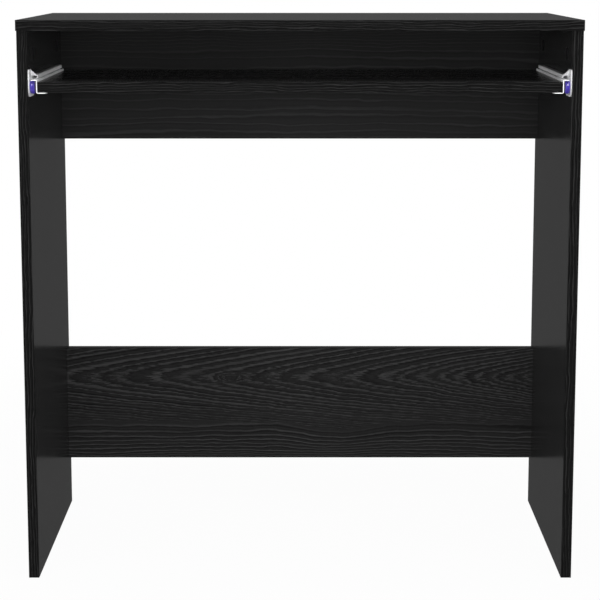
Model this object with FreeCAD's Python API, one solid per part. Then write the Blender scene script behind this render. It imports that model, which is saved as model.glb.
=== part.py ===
import FreeCAD, Part
import math
import os

# Computer desk with a pull-out keyboard tray, in millimetres.
#
# Two upright side panels carry a worktop and are tied together at the back by two
# wide panels, all of black-oak-faced engineered wood with banded edges. The boards
# are joined by cam locks and wooden dowels. A keyboard tray hangs under the worktop
# on a pair of bottom-mounted roller slides: each has a rail screwed to the side
# panel with a roller at its front end, and a rail screwed under the tray with a
# roller at its rear end.
#
# Frame: the origin is on the floor under the middle of the worktop. +X is to the
# right and +Y to the back for someone who sits at the desk, and +Z is up.

V = FreeCAD.Vector

# ---------------------------------------------------------------- desk
desk_width = 800.0
desk_depth = 400.0
desk_height = 815.0
board = 15.0  # thickness of every board
edge_band = 0.5  # thickness of the edge banding

reveal_side = 1.0  # worktop stands out past a side panel's outer face
reveal_front = 2.0  # worktop stands out past the side panels' front edges
reveal_rear = 2.0

panel_height = 186.0  # both back panels
panel_inset = 13.0  # back panels' rear faces, in from the side panels' rear edges
lower_panel_rise = 82.5  # underside of the lower back panel above the floor

# ---------------------------------------------------------------- keyboard tray
tray_drop = 72.0  # clear height between the tray and the worktop
tray_setback = 1.0  # tray's front edge behind the side panels' front edges
tray_rear_gap = 51.0  # between the tray and the upper back panel
tray_end_gap = 0.1  # between the tray's end and the start of its rail's bend

# ---------------------------------------------------------------- roller slides
slide_space = 12.5  # between the side panel and the tray rail's inner face
slide_setback = 1.0  # wall rail's front end behind the side panels' front edges
slide_short = 16.0  # slide ends this far in front of the tray's rear edge
sheet = 1.2  # steel thickness of the rails
bend = 0.6  # inner radius of the rails' bends

roller_radius = 9.5
roller_inset = 2.9  # between the tray rail's web and the front roller
roller_round = 2.4  # rounding of the roller's tread edges
roller_gap = 0.2  # between a roller and the flange that it runs on
roller_play = 0.2  # between a roller's side and what is beside it
hub_recess = 1.4  # depth of the counterbore that takes the rivet's head
axle_radius = 2.5
axle_clearance = 0.05  # radial, roller bore to axle
axle_head_radius = 4.0
axle_head = 1.2
axle_shoulder_radius = 3.5

tray_rail_rise = 3.0  # tray rail's top flange above the tray's top face
tray_flange_under = 13.0  # flange under the tray
tray_flange_gap = 2.7  # between its flange on the front roller and the wall rail's web
tray_flange_corner = 4.0  # rounded free corners of the lower flange

channel_rise = 5.6  # wall rail's top above the tray rail's top
rail_gap = 1.9  # between the tray rail's web and the channel's flanges
channel_headroom = 0.6  # above the rear roller
channel_lip = 3.7  # turned edges of the channel's flanges
lip_gap = 0.6  # between those edges and the rear roller
plate_rise = 8.3  # front plate's top above the channel's top
plate_length = 24.0  # front plate's high part, up to its fold
fold_length = 7.0  # slanting fold from the plate to the channel's upper flange
plate_corner = 3.0
nose_radius = 13.7  # round nose of the front plate, about the front axle
foot_length = 50.0  # front plate's low part, up to the channel's lower flange
rear_stop_height = 4.0  # turned-up tab at the channel's rear end
stop_gap = 0.3  # between a stop tab and the rear roller when the tray gets there
overlap_open = 85.0  # length by which the rails still overlap with the tray pulled out

# ---------------------------------------------------------------- fasteners
screw_radius = 1.75
screw_head_radius = 3.5
flat_head = 1.75  # countersunk head's height
pan_head = 2.0
drive = (3.6, 0.9, 0.9)  # length, width and depth of a head's cross recess
screw_wall = 2.0  # board left beyond a screw's tip
screw_clearance = 0.05
front_screw_back = 14.0  # front screw, from the wall rail's front end
front_screw_drop = 7.0  # below the front plate's top
channel_screw_ends = (95.0, 40.0)  # channel's first and last screws, from its ends
tray_screw_ends = 30.0  # first and last tray-rail screws, from the rail's ends
tray_screw_in = 6.5  # from the rail's web
channel_screw_count = 3
tray_screw_count = 3

cam_radius = 7.5
cam_body = 12.0  # height of the cam's housing
cam_sunk = 0.3  # cam's face below the board's face
cam_reach = 34.0  # joint plane to the cam's centre
cam_slot = (9.0, 1.8, 2.0)  # length, width and depth of the cam's cross slot
cam_window_radius = 3.6
bolt_thread_radius = 2.5
bolt_thread = 11.0
bolt_radius = 3.0
bolt_neck_radius = 2.0
bolt_neck = 4.5
bolt_head_radius = 3.2
bolt_head = 4.0
bolt_short = 0.5  # bolt ends this far short of the cam's centre
cap_radius = 8.75
cap_thickness = 0.7
cap_chamfer = 0.25

dowel_radius = 4.0
dowel_length = 30.0
dowel_in_face = 10.0
dowel_chamfer = 1.0
hole_clearance = 0.05  # radial, on bolts, cams and dowels
hole_end = 1.0  # drilled past a dowel's or bolt's end

top_cam_ends = (55.0, 80.0)  # worktop cams, from the side panel's front and rear edges
top_dowel_ends = (25.0, 45.0)
panel_dowel_in = 38.0  # end dowels, from a back panel's upper and lower edges
top_edge_dowels = 3  # dowels between the upper back panel and the worktop
top_edge_dowel_in = 120.0  # outer ones, from the panel's ends

# ---------------------------------------------------------------- derived places
under_top = desk_height - board
half_top = desk_width / 2
outer_x = half_top - reveal_side
inner_x = outer_x - board
front_y = -desk_depth / 2 + reveal_front
rear_y = desk_depth / 2 - reveal_rear
panel_rear_y = rear_y - panel_inset
panel_front_y = panel_rear_y - board

tray_top_z = under_top - tray_drop
tray_bottom_z = tray_top_z - board
tray_front_y = front_y + tray_setback
tray_rear_y = panel_front_y - tray_rear_gap
rail_x = inner_x - slide_space  # tray rail's inner face
tray_half_width = rail_x - bend - tray_end_gap

slide_front_y = front_y + slide_setback
slide_length = tray_rear_y - slide_short - slide_front_y
slide_rear_y = slide_front_y + slide_length

tray_flange_out = slide_space - sheet - tray_flange_gap  # web included
channel_depth = slide_space - sheet - rail_gap  # flange width, web included
front_roller_width = slide_space - 2 * sheet - roller_play - roller_inset
rear_roller_width = channel_depth - 2 * sheet - 2 * roller_play - lip_gap

tray_rail_bottom_z = tray_bottom_z - sheet
tray_rail_top_z = tray_top_z + tray_rail_rise
front_axle_z = tray_rail_top_z - sheet - roller_gap - roller_radius
front_axle_y = slide_front_y + nose_radius

channel_top_z = tray_rail_top_z + channel_rise
rear_axle_z = channel_top_z - sheet - channel_headroom - roller_radius
channel_floor_z = rear_axle_z - roller_radius - roller_gap
channel_bottom_z = channel_floor_z - sheet
fold_y = slide_front_y + plate_length
channel_front_y = fold_y + fold_length
plate_top_z = channel_top_z + plate_rise
fold_low_z = channel_top_z - sheet
fold_sheet = sheet * math.hypot(1, fold_length / (plate_top_z - fold_low_z))
tray_travel = slide_length - overlap_open


def roller_reach(height):
    """Distance from a roller's axis to its tread, at a height from the axis."""
    return math.sqrt(roller_radius**2 - height**2)


rear_stop_z = channel_floor_z + rear_stop_height
front_stop_z = channel_top_z - sheet - channel_lip
rear_axle_y = (slide_rear_y - sheet - stop_gap
               - roller_reach(rear_axle_z - rear_stop_z))
front_stop_y = (rear_axle_y - tray_travel - stop_gap
                - roller_reach(front_stop_z - rear_axle_z) - sheet)
front_roller_x = inner_x - sheet - roller_play - front_roller_width  # its inner side
rear_roller_x = inner_x - sheet - 2 * roller_play - rear_roller_width


# ---------------------------------------------------------------- helpers
def box(x0, x1, y0, y1, z0, z1):
    """Box between two corners."""
    return Part.makeBox(x1 - x0, y1 - y0, z1 - z0, V(x0, y0, z0))


def rod(radius, start, direction, length):
    """Cylinder from a point along a direction."""
    return Part.makeCylinder(radius, length, start, direction)


def mirrored(shape):
    """The same piece on the desk's other side."""
    return shape.mirror(V(0, 0, 0), V(1, 0, 0))


def cross(centre, normal_in, across, size):
    """Two crossed slots, cut into a face from its centre.

    size is the slots' length, width and depth.
    """
    long, wide, deep = size
    slots = []
    for u in (across, across.cross(normal_in)):
        v = u.cross(normal_in)
        start = centre - u * (long / 2) - v * (wide / 2) - normal_in
        corners = [start, start + u * long, start + u * long + v * wide,
                   start + v * wide, start]
        slot = Part.Face(Part.makePolygon(corners))
        slots.append(slot.extrude(normal_in * (deep + 1)))
    return slots


def both_sides(shapes):
    """Each shape and its mirror image."""
    return list(shapes) + [mirrored(s) for s in shapes]


def spaced(first, last, count):
    """Evenly spaced places from first to last."""
    return [first + (last - first) * i / (count - 1) for i in range(count)]


def bent_sheet(points, y0, y1):
    """Steel sheet bent along a path in the XZ plane, the path being one face of it.

    The sheet lies to the left of the path. Bends turn through a right angle.
    """
    mid = bend + sheet / 2
    spine = offset_path(points, sheet / 2)
    left, right = [], []
    start = spine[0]
    for before, corner, after in zip(spine, spine[1:], spine[2:]):
        d_in = (corner - before).normalize()
        d_out = (after - corner).normalize()
        turn = 1 if d_in.x * d_out.z - d_in.z * d_out.x > 0 else -1
        centre = corner - d_in * mid + d_out * mid
        end = corner - d_in * mid
        for side, edges in ((1, left), (-1, right)):
            shift = side * sheet / 2
            radius = mid - turn * shift
            edges.append(Part.LineSegment(start + normal(start, end) * shift,
                                          end + normal(start, end) * shift))
            on_arc = (d_in - d_out).normalize() * radius
            edges.append(Part.Arc(centre - d_out * radius, centre + on_arc,
                                  centre + d_in * radius))
        start = corner + d_out * mid
    for side, edges in ((1, left), (-1, right)):
        shift = normal(start, spine[-1]) * (side * sheet / 2)
        edges.append(Part.LineSegment(start + shift, spine[-1] + shift))
    caps = [Part.LineSegment(left[0].StartPoint, right[0].StartPoint),
            Part.LineSegment(left[-1].EndPoint, right[-1].EndPoint)]
    edges = [e.toShape() for e in left + right + caps]
    face = Part.Face(Part.Wire(Part.__sortEdges__(edges)))
    face.translate(V(0, y0, 0))
    return face.extrude(V(0, y1 - y0, 0))


def normal(start, end):
    """Unit normal to the left of a line in the XZ plane."""
    d = (end - start).normalize()
    return V(-d.z, 0, d.x)


def offset_path(points, distance):
    """Right-angled path in the XZ plane, moved to its left by a distance."""
    path = [V(x, 0, z) for x, z in points]
    moved = []
    for i, point in enumerate(path):
        shift = V(0, 0, 0)
        if i > 0:
            shift = shift + normal(path[i - 1], point) * distance
        if i < len(path) - 1:
            shift = shift + normal(point, path[i + 1]) * distance
        moved.append(point + shift)
    return moved


def banded_board(x0, x1, y0, y1, z0, z1, banded):
    """A board and the strips of banding on its edges.

    banded holds the faces that carry a strip, such as "-y" for the front edge.
    Strips named later fit between the ones named before them.
    """
    low, high = [x0, y0, z0], [x1, y1, z1]
    strips = []
    for name in banded:
        axis = "xyz".index(name[1])
        a, b = list(low), list(high)
        if name[0] == "-":
            b[axis] = low[axis] + edge_band
            low[axis] = b[axis]
        else:
            a[axis] = high[axis] - edge_band
            high[axis] = a[axis]
        strips.append(box(a[0], b[0], a[1], b[1], a[2], b[2]))
    core = box(low[0], high[0], low[1], high[1], low[2], high[2])
    return core, strips


# ---------------------------------------------------------------- board joints
class CamJoint:
    """A cam lock: a bolt in one board's face, held by a cam in another's edge.

    point is on the joint plane, along runs from the face board into the edge
    board, and open_side points to the face that the cam is turned from.
    """

    def __init__(self, point, along, open_side):
        self.point, self.along, self.open_side = point, along, open_side
        self.centre = point + along * cam_reach
        self.face = self.centre + open_side * (board / 2)

    def bolt(self):
        p, d = self.point, self.along
        shaft = cam_reach - bolt_short - bolt_head - bolt_neck
        thread = rod(bolt_thread_radius, p - d * bolt_thread, d, bolt_thread)
        stem = rod(bolt_radius, p, d, shaft)
        neck = rod(bolt_neck_radius, p + d * shaft, d, bolt_neck)
        head = rod(bolt_head_radius, p + d * (shaft + bolt_neck), d, bolt_head)
        return thread.fuse([stem, neck, head])

    def cam(self):
        n, d = self.open_side, self.along
        face = self.face - n * cam_sunk
        body = rod(cam_radius, face, n * -1, cam_body)
        window = rod(cam_window_radius, self.centre, d * -1, cam_radius + 1)
        return body.cut([window] + cross(face, n * -1, d, cam_slot))

    def cap(self):
        n = self.open_side
        disc = rod(cap_radius, self.face, n, cap_thickness)
        rim = [e for e in disc.Edges
               if e.Curve.TypeId == "Part::GeomCircle"
               and abs((e.Curve.Center - self.face).dot(n) - cap_thickness) < 0.01]
        return disc.makeChamfer(cap_chamfer, rim)

    def face_hole(self):
        d = self.along
        return rod(bolt_thread_radius + hole_clearance, self.point, d * -1,
                   bolt_thread + hole_end)

    def edge_holes(self):
        n, d = self.open_side, self.along
        pocket = rod(cam_radius + hole_clearance, self.face, n * -1,
                     cam_sunk + cam_body + hole_clearance)
        drilled = rod(bolt_radius + 0.5, self.point, d, cam_reach)
        return [pocket, drilled]


class Dowel:
    """A wooden dowel, partly in one board's face and partly in another's edge."""

    def __init__(self, point, along):
        self.point, self.along = point, along

    def pin(self):
        pin = rod(dowel_radius, self.point - self.along * dowel_in_face,
                  self.along, dowel_length)
        rims = [e for e in pin.Edges if e.Curve.TypeId == "Part::GeomCircle"]
        return pin.makeChamfer(dowel_chamfer, rims)

    def face_hole(self):
        return rod(dowel_radius + hole_clearance, self.point, self.along * -1,
                   dowel_in_face + hole_end)

    def edge_holes(self):
        in_edge = dowel_length - dowel_in_face
        return [rod(dowel_radius + hole_clearance, self.point, self.along,
                    in_edge + hole_end)]


def worktop_joints():
    """Joints between the worktop and the right side panel."""
    x = (outer_x + inner_x) / 2
    down, inward = V(0, 0, -1), V(-1, 0, 0)
    cams = [CamJoint(V(x, y, under_top), down, inward)
            for y in (front_y + top_cam_ends[0], rear_y - top_cam_ends[1])]
    dowels = [Dowel(V(x, y, under_top), down)
              for y in (front_y + top_dowel_ends[0], rear_y - top_dowel_ends[1])]
    return cams, dowels


def panel_joints(bottom_z):
    """Joints between a back panel and the right side panel."""
    y = (panel_front_y + panel_rear_y) / 2
    inward, rearward = V(-1, 0, 0), V(0, 1, 0)
    cams = [CamJoint(V(inner_x, y, bottom_z + panel_height / 2), inward, rearward)]
    dowels = [Dowel(V(inner_x, y, z), inward)
              for z in (bottom_z + panel_dowel_in,
                        bottom_z + panel_height - panel_dowel_in)]
    return cams, dowels


def top_edge_joints():
    """Dowels between the upper back panel's top edge and the worktop."""
    y = (panel_front_y + panel_rear_y) / 2
    reach = inner_x - top_edge_dowel_in
    return [Dowel(V(x, y, under_top), V(0, 0, -1))
            for x in spaced(-reach, reach, top_edge_dowels)]


# ---------------------------------------------------------------- screws
class WallScrew:
    """Countersunk screw that holds the wall rail to the right side panel."""

    length = sheet + board - screw_wall

    def __init__(self, y, z):
        self.start = V(inner_x - sheet, y, z)

    def hole(self, extra=screw_clearance):
        """The room that the screw takes, with a clearance all round."""
        out = V(1, 0, 0)
        head = Part.makeCone(screw_head_radius + extra, screw_radius + extra,
                             flat_head, self.start, out)
        return head.fuse(rod(screw_radius + extra, self.start, out, self.length))

    def shape(self):
        slots = cross(self.start, V(1, 0, 0), V(0, 0, 1), drive)
        return self.hole(extra=0.0).cut(slots)


class TrayScrew:
    """Pan-head screw up through the tray rail's lower flange into the tray."""

    def __init__(self, y):
        self.seat = V(rail_x - tray_screw_in, y, tray_rail_bottom_z)

    def hole(self, extra=screw_clearance):
        """The room that the shank takes above the head, with a clearance."""
        return rod(screw_radius + extra, self.seat, V(0, 0, 1),
                   sheet + board - screw_wall)

    def shape(self):
        up = V(0, 0, 1)
        head = rod(screw_head_radius, self.seat - up * pan_head, up, pan_head)
        rim = [e for e in head.Edges
               if e.Curve.TypeId == "Part::GeomCircle"
               and abs(e.Curve.Center.z - self.seat.z + pan_head) < 0.01]
        head = head.makeFillet(pan_head * 0.6, rim)
        slots = cross(self.seat - up * pan_head, up, V(0, 1, 0), drive)
        return head.cut(slots).fuse(self.hole(extra=0.0))


def wall_screws():
    """Screws of the right wall rail."""
    front = WallScrew(slide_front_y + front_screw_back,
                      plate_top_z - front_screw_drop)
    places = spaced(slide_front_y + channel_screw_ends[0],
                    slide_rear_y - channel_screw_ends[1], channel_screw_count)
    return [front] + [WallScrew(y, rear_axle_z) for y in places]


def tray_screws():
    """Screws of the right tray rail."""
    return [TrayScrew(y) for y in spaced(tray_front_y + tray_screw_ends,
                                         slide_rear_y - tray_screw_ends,
                                         tray_screw_count)]


# ---------------------------------------------------------------- boards
def worktop():
    core, strips = banded_board(-half_top, half_top, -desk_depth / 2, desk_depth / 2,
                                under_top, desk_height, ["-y", "+y", "-x", "+x"])
    cams, dowels = worktop_joints()
    holes = both_sides([j.face_hole() for j in cams + dowels])
    holes += [j.face_hole() for j in top_edge_joints()]
    return core.cut(holes), strips


def side_panel():
    """The right side panel."""
    core, strips = banded_board(inner_x, outer_x, front_y, rear_y, 0, under_top,
                                ["-y", "+y"])
    cams, dowels = worktop_joints()
    holes = [h for j in cams + dowels for h in j.edge_holes()]
    for bottom_z in (lower_panel_rise, under_top - panel_height):
        cams, dowels = panel_joints(bottom_z)
        holes += [j.face_hole() for j in cams + dowels]
    holes += [s.hole() for s in wall_screws()]
    return core.cut(holes), strips


def back_panel(bottom_z, banded, extra_joints=()):
    core, strips = banded_board(-inner_x, inner_x, panel_front_y, panel_rear_y,
                                bottom_z, bottom_z + panel_height, banded)
    cams, dowels = panel_joints(bottom_z)
    holes = both_sides([h for j in cams + dowels for h in j.edge_holes()])
    holes += [h for j in extra_joints for h in j.edge_holes()]
    return core.cut(holes), strips


def keyboard_tray():
    core, strips = banded_board(-tray_half_width, tray_half_width, tray_front_y,
                                tray_rear_y, tray_bottom_z, tray_top_z,
                                ["-y", "+y", "-x", "+x"])
    holes = both_sides([s.hole() for s in tray_screws()])
    return core.cut(holes), strips


# ---------------------------------------------------------------- slides
def front_plate():
    """Flat front end of the right wall rail: high plate, round nose and long foot."""
    y0, z0 = slide_front_y, front_axle_z
    foot_y = y0 + foot_length
    foot_z = z0 - nose_radius
    turned = plate_corner * (1 - math.sqrt(0.5))
    nose_turned = nose_radius * (1 - math.sqrt(0.5))

    def at(y, z):
        return V(inner_x, y, z)

    edges = [
        Part.LineSegment(at(y0, z0), at(y0, plate_top_z - plate_corner)),
        Part.Arc(at(y0, plate_top_z - plate_corner),
                 at(y0 + turned, plate_top_z - turned),
                 at(y0 + plate_corner, plate_top_z)),
        Part.LineSegment(at(y0 + plate_corner, plate_top_z),
                         at(fold_y + fold_sheet, plate_top_z)),
        Part.LineSegment(at(fold_y + fold_sheet, plate_top_z),
                         at(channel_front_y + fold_sheet, fold_low_z)),
        Part.LineSegment(at(channel_front_y + fold_sheet, fold_low_z),
                         at(channel_front_y + fold_sheet, rear_axle_z)),
        Part.LineSegment(at(channel_front_y + fold_sheet, rear_axle_z),
                         at(foot_y, rear_axle_z)),
        Part.LineSegment(at(foot_y, rear_axle_z), at(foot_y, foot_z + plate_corner)),
        Part.Arc(at(foot_y, foot_z + plate_corner),
                 at(foot_y - turned, foot_z + turned),
                 at(foot_y - plate_corner, foot_z)),
        Part.LineSegment(at(foot_y - plate_corner, foot_z), at(front_axle_y, foot_z)),
        Part.Arc(at(front_axle_y, foot_z),
                 at(y0 + nose_turned, foot_z + nose_turned), at(y0, z0)),
    ]
    face = Part.Face(Part.Wire([e.toShape() for e in edges]))
    return face.extrude(V(-sheet, 0, 0))


def fold():
    """Slanting fold that turns the right front plate into the upper flange."""
    high = V(inner_x, fold_y, plate_top_z)
    corners = [high, V(inner_x, channel_front_y, fold_low_z),
               V(inner_x - channel_depth + bend, channel_front_y, fold_low_z), high]
    return Part.Face(Part.makePolygon(corners)).extrude(V(0, fold_sheet, 0))


def wall_rail():
    """Right wall rail: a channel that holds the rear roller, with the front plate."""
    lip_x = inner_x - channel_depth
    channel = bent_sheet([(lip_x, channel_floor_z + channel_lip),
                          (lip_x, channel_bottom_z), (inner_x, channel_bottom_z),
                          (inner_x, channel_top_z), (lip_x, channel_top_z),
                          (lip_x, front_stop_z)], channel_front_y, slide_rear_y)
    no_flange = box(lip_x - 1, inner_x + 1, channel_front_y - 1,
                    slide_front_y + foot_length, channel_bottom_z - 1, rear_axle_z)
    tab_x = (lip_x + sheet, inner_x - sheet)
    front_stop = box(*tab_x, front_stop_y, front_stop_y + sheet,
                     front_stop_z, channel_top_z - sheet)
    rear_stop = box(*tab_x, slide_rear_y - sheet, slide_rear_y,
                    channel_floor_z, rear_stop_z)
    rail = channel.cut(no_flange).fuse([front_plate(), fold(), front_stop, rear_stop])
    holes = [s.hole() for s in wall_screws()]
    holes.append(rod(axle_radius, V(inner_x - 2 * sheet, front_axle_y, front_axle_z),
                     V(1, 0, 0), 3 * sheet))
    return rail.removeSplitter().cut(holes)


def tray_rail():
    """Right tray rail: flange under the tray, web, and flange on the front roller."""
    web_x = rail_x + sheet
    rail = bent_sheet([(rail_x - tray_flange_under, tray_rail_bottom_z),
                       (web_x, tray_rail_bottom_z),
                       (web_x, tray_rail_top_z - sheet),
                       (rail_x + tray_flange_out, tray_rail_top_z - sheet)],
                      slide_front_y, slide_rear_y)
    cut_y = rear_axle_y - roller_radius - 2
    no_flange = box(web_x, rail_x + tray_flange_out + 1, cut_y,
                    slide_rear_y + 1, tray_rail_top_z - sheet - bend,
                    tray_rail_top_z + 1)
    rail = rail.cut(no_flange)
    free_corners = [e for e in rail.Edges
                    if e.Curve.TypeId == "Part::GeomLine"
                    and abs(e.Length - sheet) < 0.01
                    and abs(e.BoundBox.XMin - rail_x + tray_flange_under) < 0.01
                    and e.BoundBox.ZLength > sheet / 2]
    rail = rail.makeFillet(tray_flange_corner, free_corners)
    holes = [s.hole() for s in tray_screws()]
    holes.append(rod(axle_radius, V(rail_x - sheet, rear_axle_y, rear_axle_z),
                     V(1, 0, 0), 3 * sheet))
    return rail.cut(holes)


def roller(x, y, z, width, outward):
    """Nylon roller with a counterbore for its rivet's head.

    x is the roller's inner side, and outward says which side the head is on.
    """
    tread = rod(roller_radius, V(x, y, z), V(1, 0, 0), width)
    rims = [e for e in tread.Edges if e.Curve.TypeId == "Part::GeomCircle"]
    tread = tread.makeFillet(min(roller_round, 0.4 * width), rims)
    bore = rod(axle_radius + axle_clearance, V(x - 1, y, z), V(1, 0, 0),
               width + 2)
    recess_x = x + width - hub_recess if outward else x - 1
    recess = rod(axle_head_radius + 0.4, V(recess_x, y, z), V(1, 0, 0),
                 hub_recess + 1)
    return tread.cut([bore, recess])


def front_axle():
    """Rivet that carries the right front roller on the wall rail."""
    y, z = front_axle_y, front_axle_z
    head_x = front_roller_x + hub_recess - roller_play - axle_head
    head = rod(axle_head_radius, V(head_x, y, z), V(1, 0, 0), axle_head)
    return head.fuse(rod(axle_radius, V(head_x, y, z), V(1, 0, 0), inner_x - head_x))


def rear_axle():
    """Shouldered rivet that carries the right rear roller on the tray rail."""
    y, z = rear_axle_y, rear_axle_z
    head_x = rear_roller_x + rear_roller_width - hub_recess + roller_play
    pin = rod(axle_radius, V(rail_x, y, z), V(1, 0, 0), head_x + axle_head - rail_x)
    head = rod(axle_head_radius, V(head_x, y, z), V(1, 0, 0), axle_head)
    shoulder_x = rail_x + sheet
    shoulder = rod(axle_shoulder_radius, V(shoulder_x, y, z), V(1, 0, 0),
                   rear_roller_x - roller_play - shoulder_x)
    return pin.fuse([head, shoulder])


# ---------------------------------------------------------------- the desk
def joint_nodes(place, cams, dowels):
    """Cam locks, bolts, caps and dowels of one joint, as groups of solids."""
    return {
        "cam_locks_" + place: [c.cam() for c in cams],
        "cam_bolts_" + place: [c.bolt() for c in cams],
        "cam_caps_" + place: [c.cap() for c in cams],
        "dowels_" + place: [d.pin() for d in dowels],
    }


def sided(name, shapes):
    """Right-hand shapes as one node, and their mirror images as another."""
    return {name + "_right": shapes, name + "_left": [mirrored(s) for s in shapes]}


def build():
    """Every node of the desk: its name, and the list of its solids."""
    nodes = {}
    for name, (core, strips) in (
        ("worktop", worktop()),
        ("upper_back_panel", back_panel(under_top - panel_height, ["-z"],
                                        top_edge_joints())),
        ("lower_back_panel", back_panel(lower_panel_rise, ["-z", "+z"])),
        ("keyboard_tray", keyboard_tray()),
    ):
        nodes[name] = [core]
        nodes["edge_bands_" + name] = strips
    core, strips = side_panel()
    nodes.update(sided("side_panel", [core]))
    nodes.update(sided("edge_bands_side_panel", strips))

    for name, group in joint_nodes("worktop", *worktop_joints()).items():
        nodes.update(sided(name, group))
    for place, bottom_z in (("upper_panel", under_top - panel_height),
                            ("lower_panel", lower_panel_rise)):
        for name, group in joint_nodes(place, *panel_joints(bottom_z)).items():
            nodes[name] = both_sides(group)
    nodes["dowels_upper_panel"] += [d.pin() for d in top_edge_joints()]

    nodes.update(sided("wall_rail", [wall_rail()]))
    nodes.update(sided("tray_rail", [tray_rail()]))
    nodes.update(sided("front_roller", [roller(front_roller_x, front_axle_y,
                                               front_axle_z, front_roller_width,
                                               outward=False)]))
    nodes.update(sided("rear_roller", [roller(rear_roller_x, rear_axle_y,
                                              rear_axle_z, rear_roller_width,
                                              outward=True)]))
    nodes.update(sided("front_axle", [front_axle()]))
    nodes.update(sided("rear_axle", [rear_axle()]))
    nodes.update(sided("wall_rail_screws", [s.shape() for s in wall_screws()]))
    nodes.update(sided("tray_rail_screws", [s.shape() for s in tray_screws()]))
    return nodes


os.makedirs("parts", exist_ok=True)
for node, shapes in build().items():
    shape = shapes[0] if len(shapes) == 1 else Part.makeCompound(shapes)
    shape.exportStep("parts/" + node + ".step")
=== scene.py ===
import logging
import math
from dataclasses import dataclass, field, replace
from enum import Enum
from typing import Any, Sequence, Union

import bpy
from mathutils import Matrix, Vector


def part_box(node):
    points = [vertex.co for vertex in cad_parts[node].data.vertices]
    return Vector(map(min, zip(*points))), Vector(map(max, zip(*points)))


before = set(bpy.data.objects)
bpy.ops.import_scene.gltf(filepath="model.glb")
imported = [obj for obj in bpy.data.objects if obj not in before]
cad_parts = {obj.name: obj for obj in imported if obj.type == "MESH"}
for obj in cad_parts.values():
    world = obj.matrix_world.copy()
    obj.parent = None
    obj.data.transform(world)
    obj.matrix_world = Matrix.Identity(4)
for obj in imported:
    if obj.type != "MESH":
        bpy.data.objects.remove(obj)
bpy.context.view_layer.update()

# Looks of a black oak computer desk with a keyboard tray on roller slides.
# Everything is in metres, in the desk's own frame: +X right, +Y back, +Z up.

log = logging.getLogger("desk")

Colour = tuple[float, float, float]
Number = Union[float, "Signal"]


def grey(level: float) -> Colour:
    """Neutral colour of one linear level."""
    return (level, level, level)


# ------------------------------------------------------------------ shader maths
class Signal:
    """A number that varies over a surface, as the output of a shader node."""

    def __init__(self, graph: "Graph", socket: bpy.types.NodeSocket) -> None:
        """Wraps a node's output.

        Args:
            graph: the material's node graph.
            socket: the output that carries the number.
        """
        self.graph = graph
        self.socket = socket

    def _with(self, operation: str, *others: Number) -> "Signal":
        """Adds a Math node with this signal as its first input."""
        return self.graph.maths(operation, self, *others)

    def __add__(self, other: Number) -> "Signal":
        """Sum of two numbers."""
        return self._with("ADD", other)

    def __radd__(self, other: float) -> "Signal":
        """Sum with a plain number on the left."""
        return self.graph.maths("ADD", other, self)

    def __sub__(self, other: Number) -> "Signal":
        """Difference of two numbers."""
        return self._with("SUBTRACT", other)

    def __rsub__(self, other: float) -> "Signal":
        """A plain number less this one."""
        return self.graph.maths("SUBTRACT", other, self)

    def __mul__(self, other: Number) -> "Signal":
        """Product of two numbers."""
        return self._with("MULTIPLY", other)

    def __rmul__(self, other: float) -> "Signal":
        """Product with a plain number on the left."""
        return self.graph.maths("MULTIPLY", other, self)

    def __truediv__(self, other: Number) -> "Signal":
        """Quotient of two numbers."""
        return self._with("DIVIDE", other)

    def __rtruediv__(self, other: float) -> "Signal":
        """A plain number over this one."""
        return self.graph.maths("DIVIDE", other, self)

    def __pow__(self, other: Number) -> "Signal":
        """This number to a power."""
        return self._with("POWER", other)

    def __neg__(self) -> "Signal":
        """The number with its sign turned."""
        return self * -1.0

    def __abs__(self) -> "Signal":
        """The number without its sign."""
        return self._with("ABSOLUTE")

    def root(self) -> "Signal":
        """Square root."""
        return self._with("SQRT")

    def fraction(self) -> "Signal":
        """Part after the decimal point."""
        return self._with("FRACT")

    def above(self, other: Number) -> "Signal":
        """The larger of two numbers."""
        return self._with("MAXIMUM", other)

    def below(self, other: Number) -> "Signal":
        """The smaller of two numbers."""
        return self._with("MINIMUM", other)

    def step(self, low: float, high: float) -> "Signal":
        """Smooth rise from 0 at low to 1 at high.

        Args:
            low: value at which the rise starts.
            high: value at which it is complete; below low, the step falls.

        Returns:
            The stepped signal, from 0 to 1.
        """
        if high < low:
            return 1.0 - self.step(high, low)
        node = self.graph.node("ShaderNodeMapRange",
                               {"interpolation_type": "SMOOTHSTEP"},
                               {"Value": self, "From Min": low, "From Max": high})
        return Signal(self.graph, node.outputs["Result"])

    def bump_at(self, centre: float, half_width: float) -> "Signal":
        """Smooth hump of height 1 about a value.

        Args:
            centre: where the hump is highest.
            half_width: distance at which it has fallen to 0.

        Returns:
            The hump, from 0 to 1.
        """
        return abs(self - centre).step(half_width, 0.0)


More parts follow.
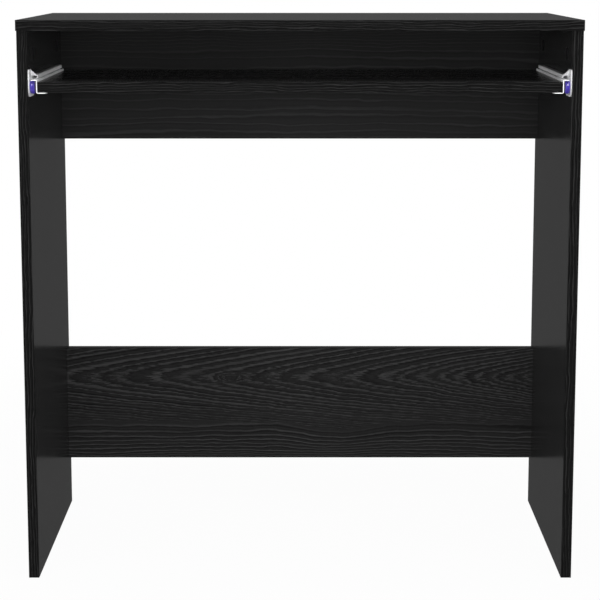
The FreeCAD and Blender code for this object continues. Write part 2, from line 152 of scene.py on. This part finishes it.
class Graph:
    """A material's nodes, with a short way to add each kind."""

    def __init__(self, name: str) -> None:
        """Makes an empty material.

        Args:
            name: the material's name.
        """
        self.material = bpy.data.materials.new(name)
        self.material.use_nodes = True
        self.tree = self.material.node_tree
        self.tree.nodes.clear()

    def node(self, kind: str, settings: dict[str, Any] | None = None,
             inputs: dict[str, Any] | None = None) -> bpy.types.Node:
        """Adds a node.

        Args:
            kind: the node's type, such as ShaderNodeMath.
            settings: attributes, set before the inputs; "stops" fills a colour ramp.
            inputs: socket name or number to a value, a Signal or an output socket.

        Returns:
            The new node.
        """
        made = self.tree.nodes.new(kind)
        for key, value in (settings or {}).items():
            if key == "stops":
                self._fill_ramp(made.color_ramp, value)
            else:
                setattr(made, key, value)
        for key, value in (inputs or {}).items():
            target = made.inputs[key]
            if isinstance(value, Signal):
                value = value.socket
            if isinstance(value, bpy.types.NodeSocket):
                self.tree.links.new(value, target)
            elif target.type == "RGBA" and len(value) == 3:
                target.default_value = (*value, 1.0)
            else:
                target.default_value = value
        return made

    @staticmethod
    def _fill_ramp(ramp: bpy.types.ColorRamp, stops: Sequence[tuple[float, float]]) -> None:
        """Gives a colour ramp its grey stops."""
        while len(ramp.elements) > 1:
            ramp.elements.remove(ramp.elements[-1])
        ramp.elements[0].position = stops[0][0]
        ramp.elements[0].color = (*grey(stops[0][1]), 1.0)
        for position, level in stops[1:]:
            ramp.elements.new(position).color = (*grey(level), 1.0)

    def maths(self, operation: str, *values: Number) -> Signal:
        """Adds a Math node on two or three numbers."""
        made = self.node("ShaderNodeMath", {"operation": operation},
                         dict(enumerate(values)))
        return Signal(self, made.outputs[0])

    def place(self) -> tuple[Signal, Signal, Signal]:
        """The surface point's place in the desk's frame, as three numbers."""
        coordinates = self.node("ShaderNodeTexCoord")
        split = self.node("ShaderNodeSeparateXYZ", None,
                          {"Vector": coordinates.outputs["Object"]})
        return tuple(Signal(self, split.outputs[axis]) for axis in "XYZ")

    def vector(self, x: Number, y: Number, z: Number) -> bpy.types.NodeSocket:
        """Three numbers as one vector."""
        return self.node("ShaderNodeCombineXYZ", None,
                         {"X": x, "Y": y, "Z": z}).outputs["Vector"]

    def noise(self, where: bpy.types.NodeSocket, scale: float, detail: float = 2.0,
              roughness: float = 0.5) -> Signal:
        """Cloudy noise, from about 0.2 to 0.8.

        Args:
            where: vector that the noise is read at.
            scale: cells to the unit.
            detail: octaves of finer noise.
            roughness: strength of the finer octaves.

        Returns:
            The noise.
        """
        made = self.node("ShaderNodeTexNoise", None,
                         {"Vector": where, "Scale": scale, "Detail": detail,
                          "Roughness": roughness})
        return Signal(self, made.outputs["Fac"])

    def streaks(self, along: Number, across: Number, pace: tuple[float, float],
                seed: float, detail: float = 2.0, roughness: float = 0.5) -> Signal:
        """Noise that is drawn out along the grain.

        Args:
            along: place along the grain.
            across: place across it.
            pace: cells to the metre, along and across.
            seed: picks one of many such noises.
            detail: octaves of finer noise.
            roughness: strength of the finer octaves.

        Returns:
            The noise, from about 0.2 to 0.8.
        """
        where = self.vector(along * pace[0], across * pace[1], seed)
        return self.noise(where, 1.0, detail, roughness)

    def ramp(self, value: Signal, stops: Sequence[tuple[float, float]]) -> Signal:
        """Looks a value up on a smooth curve through the stops."""
        made = self.node("ShaderNodeValToRGB", {"stops": stops}, {"Fac": value})
        made.color_ramp.interpolation = "B_SPLINE"
        return Signal(self, made.outputs["Color"])

    def blend(self, share: Number, first: Any, second: Any) -> bpy.types.NodeSocket:
        """Mixes two colours.

        Args:
            share: how much of the second colour is taken, from 0 to 1.
            first: a colour, or an output socket that carries one.
            second: the same.

        Returns:
            The output socket of the mixed colour.
        """
        made = self.node("ShaderNodeMix", {"data_type": "RGBA"},
                         {0: share, 6: first, 7: second})
        return made.outputs[2]

    def relief(self, height: Signal, distance: float, strength: float) -> bpy.types.NodeSocket:
        """Normal of a surface with small heights on it.

        Args:
            height: the relief, from 0 to 1.
            distance: height in metres that 1 stands for.
            strength: how much of the relief shows.

        Returns:
            The normal's output socket.
        """
        made = self.node("ShaderNodeBump", None,
                         {"Height": height, "Distance": distance, "Strength": strength})
        return made.outputs["Normal"]

    def surface(self, **inputs: Any) -> bpy.types.Material:
        """Closes the graph with a Principled surface.

        Args:
            inputs: the surface's sockets, with underscores for spaces.

        Returns:
            The finished material.
        """
        named = {key.replace("_", " "): value for key, value in inputs.items()}
        shader = self.node("ShaderNodeBsdfPrincipled", None, named)
        self.node("ShaderNodeOutputMaterial", None, {"Surface": shader.outputs["BSDF"]})
        return self.material


# ------------------------------------------------------------------ finishes
class Grain(Enum):
    """Direction of a board's grain, as the number of the axis that it runs along."""

    ALONG_X = 0
    ALONG_Z = 2


@dataclass(frozen=True)
class Figure:
    """The grain figure of one board, in the desk's frame.

    The cathedrals are a row of chevrons along an axis. Past a shoulder on the low
    side of it come a band of fine broken lines, a plain band, and straight lines
    that dip once.
    """

    grain: Grain
    axis: float = 0.0  # the cathedrals' axis, across the grain
    opening: float = 1.0  # -1 where the chevrons open towards the low end
    arm_up: float = 4.2  # run of a chevron's arm for each metre across, above the axis
    arm_down: float = 5.0
    curl_up: float = 32.0  # how fast the arms bend over to run with the grain
    curl_down: float = 62.0
    blunt: float = 0.008  # how round a chevron's tip is
    pitch: float = 0.042  # between two chevrons' tips
    crowding: float = 0.0  # how much closer they stand towards the high end
    straight_from: float = 0.070  # straight lines start this far below the axis
    straight_pitch: float = 0.0130  # of the first ones; they get closer together
    dip_at: float = 0.06  # where along the grain the straight lines dip
    dip_deep: float = 0.017
    dip_wide: float = 0.10
    knot: tuple[float, float] | None = None  # along the grain and from the axis
    contrast: float = 1.0
    seed: float = 0.0


@dataclass(frozen=True)
class BlackOak:
    """Black melamine with a printed and embossed oak grain, with painted highlight on its
    ridges and painted shade beside them.
    """

    ground: Colour = (0.0195, 0.0195, 0.0196)
    # line: light grain lines, partly print and partly painted highlight on the embossed ridges
    line: Colour = (0.0520, 0.0520, 0.0522)
    # shadow: painted shade laid beside each light grain line
    shadow: Colour = (0.0055, 0.0055, 0.0055)
    roughness: float = 0.18
    specular: float = 0.20
    fibre_pace: tuple[float, float] = (34.0, 620.0)  # cells to the metre, along and across
    pore_pace: tuple[float, float] = (90.0, 1900.0)
    relief_depth: float = 0.00006

    def material(self, name: str, figure: Figure) -> bpy.types.Material:
        """Builds the material for one board.

        Args:
            name: the material's name.
            figure: the board's grain figure.

        Returns:
            The material.
        """
        graph = Graph(name)
        place = graph.place()
        along = place[figure.grain.value] * figure.opening
        others = [place[i] for i in range(3) if i != figure.grain.value]
        across = others[0] + others[1]
        fibre = graph.streaks(along, across, self.fibre_pace, figure.seed, detail=3.0,
                              roughness=0.65)
        lines, shades = self._rings(graph, figure, along, across, fibre - 0.5)
        pores = graph.streaks(along, across, self.pore_pace, figure.seed,
                              detail=1.0).step(0.55, 0.70)
        # The light lines are partly the printed grain and partly painted highlight along the
        # embossed ridges; the pore flecks add to that painted highlight.
        lit = (lines * (0.35 + fibre * 1.3) + pores * 0.16).below(1.0) * figure.contrast
        dark = (shades * (0.5 + fibre)).below(1.0) * figure.contrast
        # Beside each light line the ground darkens to the shadow colour: painted shade of the
        # embossed ridges.
        ground_with_painted_shade = graph.blend(dark, self.ground, self.shadow)
        colour = graph.blend(lit, ground_with_painted_shade, self.line)
        height = 0.6 - pores * 0.4 + lines * 0.3 - shades * 0.2 + (fibre - 0.5) * 0.2
        return graph.surface(
            Base_Color=colour,
            Roughness=self.roughness + lines * 0.06 + (fibre - 0.5) * 0.04,
            Specular_IOR_Level=self.specular,
            Normal=graph.relief(height, self.relief_depth, 0.4),
        )

    def _rings(self, graph: Graph, figure: Figure, along: Signal, across: Signal,
               streak: Signal) -> tuple[Signal, Signal]:
        """Light lines of the rings, partly painted highlight on the embossed ridges, and the
        painted shade beside them.

        Args:
            graph: the material's node graph.
            figure: the board's grain figure.
            along: place along the grain.
            across: place across it.
            streak: fine variation about 0, drawn out along the grain.

        Returns:
            The lines and the shades, each from 0 to 1.
        """
        sway = graph.streaks(along, across, (3.2, 9.0), figure.seed, detail=3.0) - 0.5
        wobble = graph.streaks(along, across, (26.0, 60.0), figure.seed + 7.0) - 0.5
        low = figure.straight_from
        off = across - figure.axis + sway * 0.014 + wobble * 0.0026
        cathedral = self._cathedral(graph, figure, along, off, streak, wobble)

        on_board = along * figure.opening  # in the desk's own direction
        dip = on_board.bump_at(figure.dip_at, figure.dip_wide)
        sunk = (off + dip * off.step(-low * 2.1, -low) * figure.dip_deep + sway * 0.012
                + wobble * 0.0035)
        depth = (-sunk - low * 1.15).above(0.0)
        rows = (depth + depth.below(0.06) ** 2.0 * 18.0 + streak * 0.0030) \
            / figure.straight_pitch
        pace = graph.noise(graph.vector(sunk * 60.0, along * 1.2, figure.seed + 9.0),
                           1.0)
        weight = graph.noise(graph.vector(rows * 0.9, along * 2.0, figure.seed + 4.0),
                             1.0).step(0.25, 0.60) * 0.7 + 0.3
        straight = [row * weight for row in
                    self._profile(graph, (rows + pace * 1.6).fraction())]
        broken = (streak * 4.0 + 0.55).above(0.0).below(1.0)
        into_fine = (off + wobble * 0.012).step(-low * 0.70, -low * 0.88)
        plain = sway.step(-0.10, 0.02)
        into_plain = (sunk + wobble * 0.004).step(-low * 1.00, -low * 1.08) * plain
        into_straight = (sunk + wobble * 0.003).step(-low * 1.10, -low * 1.20)
        return tuple(
            a * (1.0 - into_fine * (1.0 - broken)) * (1.0 - into_plain)
            * (1.0 - into_straight) + b * into_straight
            for a, b in zip(cathedral, straight))

    def _cathedral(self, graph: Graph, figure: Figure, along: Signal, off: Signal,
                   streak: Signal, wobble: Signal) -> tuple[Signal, Signal]:
        """Lines and shades of the chevrons.

        Args:
            graph: the material's node graph.
            figure: the board's grain figure.
            along: place along the grain.
            off: place across it, from the axis.
            streak: fine variation about 0, drawn out along the grain.
            wobble: quick variation about 0.

        Returns:
            The lines and the shades, each from 0 to 1.
        """
        arm_up = (off.above(0.0) ** 2.0 + figure.blunt**2).root() - figure.blunt
        arm_down = (off.below(0.0) ** 2.0 + figure.blunt**2).root() - figure.blunt
        tip = (along - arm_up * (figure.arm_up + arm_up * figure.curl_up)
               - arm_down * (figure.arm_down + arm_down * figure.curl_down))
        if figure.crowding:
            tip = tip + tip.above(0.0) ** 2.0 * figure.crowding
        feather = off.bump_at(0.0, 0.030) * 0.070 + 0.040
        tip = tip + streak * feather + wobble * 0.018
        if figure.knot:
            tip = tip + self._knot(figure, along, off) * figure.pitch * 2.2
        season = graph.noise(graph.vector(tip * 15.0, 3.0, figure.seed + 2.0), 1.0,
                             detail=1.0)
        rings = self._profile(graph, (tip / figure.pitch + season * 1.3).fraction())
        strength = graph.noise(graph.vector(tip * 13.0, 8.0, figure.seed + 5.0),
                               1.0).step(0.30, 0.55) * 0.45 + 0.55
        return tuple(ring * strength for ring in rings)

    @staticmethod
    def _knot(figure: Figure, along: Signal, off: Signal) -> Signal:
        """Hump in the rings about a small knot.

        Args:
            figure: the board's grain figure, with the knot's place.
            along: place along the grain.
            off: place across it, from the axis.

        Returns:
            The hump, from 0 to 1.
        """
        at, aside = figure.knot
        reach = (((along - at) / 0.032) ** 2.0 + ((off - aside) / 0.012) ** 2.0).root()
        return reach.step(1.0, 0.0)

    @staticmethod
    def _profile(graph: Graph, phase: Signal) -> tuple[Signal, Signal]:
        """A ring's light line, partly painted highlight, and its painted shade, over one ring.
        """
        line = graph.ramp(phase, [(0.0, 0.0), (0.50, 0.0), (0.60, 0.25), (0.70, 1.0),
                                  (0.82, 1.0), (0.90, 0.10), (1.0, 0.0)])
        shade = graph.ramp(phase, [(0.0, 1.0), (0.12, 0.5), (0.28, 0.0), (0.40, 0.1),
                                   (0.54, 1.0), (0.64, 0.2), (0.86, 0.2), (1.0, 1.0)])
        return line, shade


@dataclass(frozen=True)
class PowderCoat:
    """White epoxy powder coat with a faint orange peel."""

    colour: Colour = (0.92, 0.92, 0.93)
    roughness: float = 0.34

    def material(self, name: str) -> bpy.types.Material:
        """Builds the material."""
        graph = Graph(name)
        x, y, z = graph.place()
        where = graph.vector(x, y, z)
        peel = graph.noise(where, 900.0, detail=1.0)
        cloud = graph.noise(where, 30.0, detail=3.0)
        dusty = tuple(c * 0.93 for c in self.colour)
        return graph.surface(
            Base_Color=graph.blend(cloud.step(0.35, 0.75), self.colour, dusty),
            Roughness=self.roughness + (cloud - 0.5) * 0.08,
            Normal=graph.relief(peel, 0.00003, 0.35),
        )


@dataclass(frozen=True)
class Nylon:
    """Moulded blue-violet nylon, a little milky."""

    colour: Colour = (0.060, 0.036, 0.38)
    roughness: float = 0.18

    def material(self, name: str) -> bpy.types.Material:
        """Builds the material."""
        graph = Graph(name)
        x, y, z = graph.place()
        where = graph.vector(x, y, z)
        cloud = graph.noise(where, 140.0, detail=3.0)
        milky = tuple(min(1.0, c * 1.25 + 0.02) for c in self.colour)
        return graph.surface(
            Base_Color=graph.blend(cloud.step(0.3, 0.8), self.colour, milky),
            Roughness=self.roughness + cloud * 0.12,
            Normal=graph.relief(graph.noise(where, 1500.0), 0.00002, 0.3),
            Coat_Weight=0.5,
            Coat_Roughness=0.12,
            Subsurface_Weight=0.15,
            Subsurface_Radius=(0.4, 0.3, 1.0),
            Subsurface_Scale=0.002,
        )


@dataclass(frozen=True)
class PlatedMetal:
    """Zinc-plated steel or die-cast zinc, brushed or cloudy."""

    colour: Colour = (0.62, 0.63, 0.65)
    roughness: float = 0.32

    def material(self, name: str) -> bpy.types.Material:
        """Builds the material."""
        graph = Graph(name)
        x, y, z = graph.place()
        where = graph.vector(x, y, z)
        cloud = graph.noise(where, 420.0, detail=4.0, roughness=0.6)
        dull = tuple(c * 0.72 for c in self.colour)
        return graph.surface(
            Base_Color=graph.blend(cloud.step(0.35, 0.7), self.colour, dull),
            Metallic=1.0,
            Roughness=self.roughness + (cloud - 0.5) * 0.25,
            Normal=graph.relief(graph.noise(where, 2400.0), 0.00001, 0.4),
        )


@dataclass(frozen=True)
class Beech:
    """Plain beech with short flecks, for the dowels."""

    light: Colour = (0.60, 0.42, 0.25)
    dark: Colour = (0.40, 0.25, 0.13)

    def material(self, name: str) -> bpy.types.Material:
        """Builds the material."""
        graph = Graph(name)
        x, y, z = graph.place()
        streaks = graph.noise(graph.vector(x * 220.0, y * 900.0, z * 220.0), 1.0,
                              detail=3.0)
        return graph.surface(
            Base_Color=graph.blend(streaks.step(0.35, 0.7), self.light, self.dark),
            Roughness=0.62 + (streaks - 0.5) * 0.1,
            Normal=graph.relief(streaks, 0.00008, 0.5),
        )


@dataclass(frozen=True)
class BlackPlastic:
    """Matt black moulded plastic."""

    colour: Colour = (0.012, 0.012, 0.013)
    roughness: float = 0.5

    def material(self, name: str) -> bpy.types.Material:
        """Builds the material."""
        graph = Graph(name)
        x, y, z = graph.place()
        where = graph.vector(x, y, z)
        spark = graph.noise(where, 1800.0, detail=1.0)
        lighter = tuple(c * 1.8 for c in self.colour)
        return graph.surface(
            Base_Color=graph.blend(spark.step(0.4, 0.8), self.colour, lighter),
            Roughness=self.roughness + (spark - 0.5) * 0.15,
            Normal=graph.relief(spark, 0.00003, 0.5),
        )


def shaded_edge_banding() -> BlackOak:
    """The boards' finish for their edge bands: a little darker, as the bands are, and darker
    still as painted shade that offsets the strong front light on these faces.
    """
    return BlackOak(ground=grey(0.0060), line=grey(0.0195), shadow=grey(0.0018))


# ------------------------------------------------------------------ sub-assemblies
def dress(node: str, material: bpy.types.Material) -> None:
    """Gives a CAD node one material on all its faces.

    Args:
        node: the node's name.
        material: its new material.
    """
    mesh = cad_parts[node].data
    mesh.materials.clear()
    mesh.materials.append(material)


def both(stem: str) -> tuple[str, str]:
    """Names of a node on the desk's left and right."""
    return (stem + "_left", stem + "_right")


@dataclass
class Carcass:
    """Worktop, side panels and back panels, with their edge bands."""

    oak: BlackOak = field(default_factory=BlackOak)
    # The side panels get a darker copy of the board finish: painted shade, offsetting the fill
    # light and reflections on their inner faces.
    shaded_side_oak: BlackOak = field(default_factory=lambda: BlackOak(grey(0.0150), grey(0.0470)))
    band: BlackOak = field(default_factory=shaded_edge_banding)
    band_pitch: float = 0.0042  # between the fine lines on the edge bands

    def figures(self) -> dict[str, Figure]:
        """Grain figure of each board, placed by the board's own box."""
        found = {}
        low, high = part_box("lower_back_panel")
        found["lower_back_panel"] = Figure(
            Grain.ALONG_X, axis=low.z + 0.736 * (high.z - low.z) + low.y,
            knot=(-0.118, 0.0), pitch=0.050, crowding=1.3)
        low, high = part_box("upper_back_panel")
        found["upper_back_panel"] = Figure(
            Grain.ALONG_X, axis=high.z + 0.10 + low.y, opening=-1.0, dip_at=-0.10,
            dip_deep=0.006, contrast=0.34, seed=3.1)
        low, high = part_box("worktop")
        found["worktop"] = Figure(
            Grain.ALONG_X, axis=(low.y + high.y) / 2 + high.z, opening=-1.0, seed=5.7)
        for name, seed in zip(both("side_panel"), (9.2, 14.8)):
            low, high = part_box(name)
            found[name] = Figure(
                Grain.ALONG_Z, axis=(low.x + high.x) / 2 - 0.02, dip_at=0.4, seed=seed)
        return found

    def dress(self) -> None:
        """Gives each board its grain, and its edge bands a finer, darker one; their darkness
        is partly painted shade.
        """
        for name, figure in self.figures().items():
            oak = self.shaded_side_oak if name in both("side_panel") else self.oak
            dress(name, oak.material("black_oak_" + name, figure))
            strip = replace(figure, straight_pitch=self.band_pitch)
            dress("edge_bands_" + name, self.band.material("edge_band_" + name, strip))
            log.info("%s: grain %s", name, figure.grain.name)


@dataclass
class KeyboardTray:
    """The pull-out board and its edge bands."""

    oak: BlackOak = field(default_factory=lambda: BlackOak(roughness=0.22, specular=0.13))
    band: BlackOak = field(default_factory=shaded_edge_banding)
    band_pitch: float = 0.0042

    def dress(self) -> None:
        """Gives the tray its grain, and its edge bands a finer, darker one; their darkness is
        partly painted shade.
        """
        low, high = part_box("keyboard_tray")
        figure = Figure(Grain.ALONG_X, axis=(low.y + high.y) / 2 + low.z, seed=21.3)
        dress("keyboard_tray", self.oak.material("black_oak_tray", figure))
        strip = replace(figure, straight_pitch=self.band_pitch)
        dress("edge_bands_keyboard_tray", self.band.material("edge_band_tray", strip))
        log.info("keyboard_tray: grain %s", figure.grain.name)


@dataclass
class RollerSlides:
    """Rails, rollers, rivets and screws of both slides."""

    coat: PowderCoat = field(default_factory=PowderCoat)
    nylon: Nylon = field(default_factory=Nylon)
    rivet: PlatedMetal = field(default_factory=lambda: PlatedMetal((0.66, 0.66, 0.67), 0.28))
    screw: PlatedMetal = field(default_factory=lambda: PlatedMetal((0.70, 0.70, 0.72), 0.22))

    def dress(self) -> None:
        """Gives each piece of the slides its finish."""
        for material, stems in (
            (self.coat.material("white_powder_coat"), ("wall_rail", "tray_rail")),
            (self.nylon.material("blue_nylon"), ("front_roller", "rear_roller")),
            (self.rivet.material("rivet_steel"), ("front_axle", "rear_axle")),
            (self.screw.material("screw_steel"),
             ("wall_rail_screws", "tray_rail_screws")),
        ):
            for stem in stems:
                for node in both(stem):
                    dress(node, material)
                log.info("%s: %s", stem, material.name)


@dataclass
class Fittings:
    """Cam locks, bolts, caps and dowels inside the boards."""

    zinc: PlatedMetal = field(default_factory=lambda: PlatedMetal((0.50, 0.50, 0.51), 0.42))
    cap: BlackPlastic = field(default_factory=BlackPlastic)
    beech: Beech = field(default_factory=Beech)

    def dress(self) -> None:
        """Gives each fitting its finish."""
        zinc = self.zinc.material("zinc")
        finishes = {
            "cam_locks": zinc,
            "cam_bolts": zinc,
            "cam_caps": self.cap.material("black_cap"),
            "dowels": self.beech.material("beech"),
        }
        for kind, material in finishes.items():
            for place in (*both("worktop"), "upper_panel", "lower_panel"):
                dress(kind + "_" + place, material)
            log.info("%s: %s", kind, material.name)


# ------------------------------------------------------------------ studio
@dataclass
class Studio:
    """Floor, soft lights, surroundings and camera."""

    surroundings: float = 0.105
    backdrop: float = 1.0
    floor_colour: Colour = (0.50, 0.50, 0.50)
    floor_glow: float = 0.97
    floor_reach: float = 14.0
    eye: tuple[float, float, float] = (0.0, -2.801, 0.890)
    tilt: float = 9.02
    lens: float = 110.4
    shift: float = -0.07
    slide_front: tuple[float, float, float] = (0.37, -0.18, 0.72)  # of the right slide
    glint_place: tuple[float, float, float] = (0.79, -2.25, 2.5)  # shows in its roller

    def build(self) -> None:
        """Makes the whole studio."""
        self.floor()
        self.world()
        self.softbox("overhead", (0.0, -0.6, 3.0), (0.0, 0.0, 0.4), 2.0, 60.0)
        self.softbox("high_front", (0.0, -2.25, 2.9), (0.0, 0.0, 0.7), 0.36, 16.0)
        for name, side in zip(both("glint"), (-1.0, 1.0)):
            across = (side, 1.0, 1.0)
            place, aim = (tuple(p * s for p, s in zip(point, across))
                          for point in (self.glint_place, self.slide_front))
            self.softbox(name, place, aim, 0.50, 20.0, matt=False)
        self.softbox("fill_left", (-2.4, -2.2, 1.0), (0.0, 0.0, 0.7), 0.6, 42.0,
                     mirrored=False)
        self.softbox("fill_right", (2.4, -2.2, 1.0), (0.0, 0.0, 0.7), 0.6, 40.0,
                     mirrored=False)
        self.softbox("front", (0.0, -3.6, 0.5), (0.0, 0.0, 0.5), 1.3, 40.0, mirrored=False)
        self.softbox("back", (0.0, 3.6, 2.0), (0.0, 0.0, 0.4), 2.0, 30.0, mirrored=False)
        self.camera()

    def floor(self) -> None:
        """Plain pale floor, just under the desk."""
        bpy.ops.mesh.primitive_circle_add(vertices=96, radius=self.floor_reach,
                                          fill_type="NGON", location=(0.0, 0.0, -0.0004))
        disc = bpy.context.object
        disc.name = "floor"
        graph = Graph("pale_floor")
        ray = graph.node("ShaderNodeLightPath")
        seen = Signal(graph, ray.outputs["Is Camera Ray"])
        x, y, _ = graph.place()
        away = (x**2.0 + y**2.0).root().step(0.5, 1.8)
        matt = graph.node("ShaderNodeBsdfDiffuse", None, {"Color": self.floor_colour})
        glow = graph.node("ShaderNodeEmission", None,
                          {"Color": grey(1.0), "Strength": self.backdrop})
        even = graph.node("ShaderNodeEmission", None,
                          {"Color": grey(1.0), "Strength": self.surroundings})
        unseen = graph.node("ShaderNodeMixShader", None,
                            {0: ray.outputs["Is Glossy Ray"], 1: matt.outputs[0],
                             2: even.outputs[0]})
        mixed = graph.node("ShaderNodeMixShader", None,
                           {0: seen * (self.floor_glow + away * (1.0 - self.floor_glow)),
                            1: unseen.outputs[0],
                            2: glow.outputs[0]})
        graph.node("ShaderNodeOutputMaterial", None, {"Surface": mixed.outputs[0]})
        disc.data.materials.append(graph.material)
        log.info("floor: %.0f m across", self.floor_reach * 2)

    def world(self) -> None:
        """Even surroundings that show as a white backdrop."""
        scene = bpy.context.scene
        world = bpy.data.worlds.new("studio")
        scene.world = world
        world.use_nodes = True
        tree = world.node_tree
        tree.nodes.clear()
        ray = tree.nodes.new("ShaderNodeLightPath")
        lit = tree.nodes.new("ShaderNodeBackground")
        lit.inputs["Strength"].default_value = self.surroundings
        seen = tree.nodes.new("ShaderNodeBackground")
        seen.inputs["Strength"].default_value = self.backdrop
        for shade in (lit, seen):
            shade.inputs["Color"].default_value = (1.0, 1.0, 1.0, 1.0)
        mix = tree.nodes.new("ShaderNodeMixShader")
        out = tree.nodes.new("ShaderNodeOutputWorld")
        tree.links.new(ray.outputs["Is Camera Ray"], mix.inputs[0])
        tree.links.new(lit.outputs[0], mix.inputs[1])
        tree.links.new(seen.outputs[0], mix.inputs[2])
        tree.links.new(mix.outputs[0], out.inputs["Surface"])
        scene.view_settings.view_transform = "Standard"
        log.info("world: surroundings %.2f", self.surroundings)

    def softbox(self, name: str, place: Sequence[float], aim: Sequence[float],
                size: float, power: float, mirrored: bool = True,
                matt: bool = True) -> None:
        """Adds a large square light.

        Args:
            name: the light's name.
            place: where it hangs.
            aim: the point that it faces.
            size: side of the square.
            power: its power in watts.
            mirrored: whether glossy surfaces show it.
            matt: whether it lights matt surfaces.
        """
        light = bpy.data.lights.new(name, "AREA")
        light.size = size
        light.energy = power
        lamp = bpy.data.objects.new(name, light)
        bpy.context.scene.collection.objects.link(lamp)
        lamp.location = place
        lamp.visible_glossy = mirrored
        lamp.visible_diffuse = matt
        lamp.rotation_euler = (Vector(aim) - Vector(place)).to_track_quat("-Z", "Y").to_euler()
        log.info("light %s: %.0f W", name, power)

    def camera(self) -> None:
        """Long lens in front of the desk, a little above the worktop."""
        camera = bpy.data.cameras.new("camera")
        camera.sensor_width = 36.0
        camera.lens = self.lens
        camera.shift_y = self.shift
        camera.clip_start, camera.clip_end = 0.05, 100.0
        seen_from = bpy.data.objects.new("camera", camera)
        bpy.context.scene.collection.objects.link(seen_from)
        seen_from.location = self.eye
        seen_from.rotation_euler = (math.radians(90.0 - self.tilt), 0.0, 0.0)
        bpy.context.scene.camera = seen_from
        log.info("camera: %.1f mm lens", self.lens)


def main() -> None:
    """Builds the desk's looks and the studio round it."""
    logging.basicConfig(level=logging.INFO, format="%(name)s: %(message)s")
    for part in (Carcass(), KeyboardTray(), RollerSlides(), Fittings()):
        part.dress()
    Studio().build()


if __name__ == "__main__":
    main()
